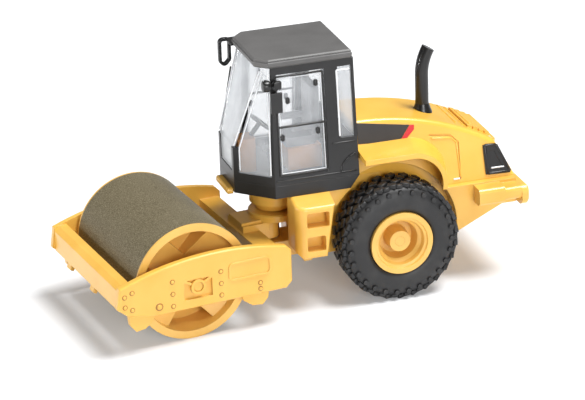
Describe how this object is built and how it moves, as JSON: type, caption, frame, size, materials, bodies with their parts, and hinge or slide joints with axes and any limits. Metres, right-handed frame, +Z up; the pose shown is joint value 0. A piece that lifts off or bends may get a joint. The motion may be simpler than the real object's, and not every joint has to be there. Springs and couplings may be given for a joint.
{
  "type": "toy road roller",
  "caption": "Scale model of a single-drum articulated road roller with a smooth front drum, glazed cab, sloping engine hood and lugged rear tyres.",
  "frame": {"origin": "centre of the bounding box on the ground", "axes": "+X towards the drum along the rear frame, +Y to the left of the machine, +Z up"},
  "size_m": [0.0684, 0.0298, 0.0381],
  "materials": {
    "cab_black": "satin",
    "clear": "clear",
    "drum_cream": "satin",
    "drum_metal": "worn",
    "frame_yellow": "satin",
    "hood_yellow": "satin",
    "inside_tan": "matt",
    "pin_steel": "turned",
    "rim_cream": "satin",
    "roof_grey": "satin",
    "seat_grey": "matt",
    "tyre_black": "matt",
    "vent_black": "matt",
    "wheel_dark": "satin"
  },
  "bodies": {
    "rear_frame": {"rear_frame": "frame_yellow", "hitch_pin": "pin_steel", "rear_bumper": "frame_yellow", "hood": "hood_yellow", "vent_left": "vent_black", "vent_right": "vent_black", "exhaust": "vent_black", "cab_base": "cab_black", "cab_frame": "cab_black", "cab_roof": "roof_grey", "glass_left": "clear", "glass_right": "clear", "quarter_glass_left": "clear", "quarter_glass_right": "clear", "corner_glass_left": "clear", "corner_glass_right": "clear", "glass_front": "clear", "glass_rear": "clear", "console": "inside_tan", "steering_wheel": "wheel_dark", "seat": "seat_grey", "seat_base": "inside_tan", "front_bar": "frame_yellow", "mirror_left": "vent_black", "mirror_right": "vent_black"},
    "front_frame": {"drum_frame": "frame_yellow"},
    "drum": {"drum_shell": "drum_metal", "drum_end_left": "drum_cream", "drum_end_right": "drum_cream", "drum_axle": "pin_steel"},
    "rear_wheels": {"rear_axle": "pin_steel", "rim_left": "rim_cream", "rim_right": "rim_cream", "tyre_left": "tyre_black", "tyre_right": "tyre_black"}
  },
  "joints": [
    {"name": "articulation", "type": "hinge", "parent": "rear_frame", "child": "front_frame", "pos_m": [0.00234, -0.00202, 0.01], "axis": [0, 0, 1], "range_deg": [-24.9, 11.1]},
    {"name": "drum_spin", "type": "hinge", "parent": "front_frame", "child": "drum", "pos_m": [0.02022, 0.00014, 0.0088], "axis": [-0.1201, 0.9928, 0], "continuous": true},
    {"name": "axle_spin", "type": "hinge", "parent": "rear_frame", "child": "rear_wheels", "pos_m": [-0.01336, -0.00202, 0.0091], "axis": [0, 1, 0], "continuous": true}
  ]
}
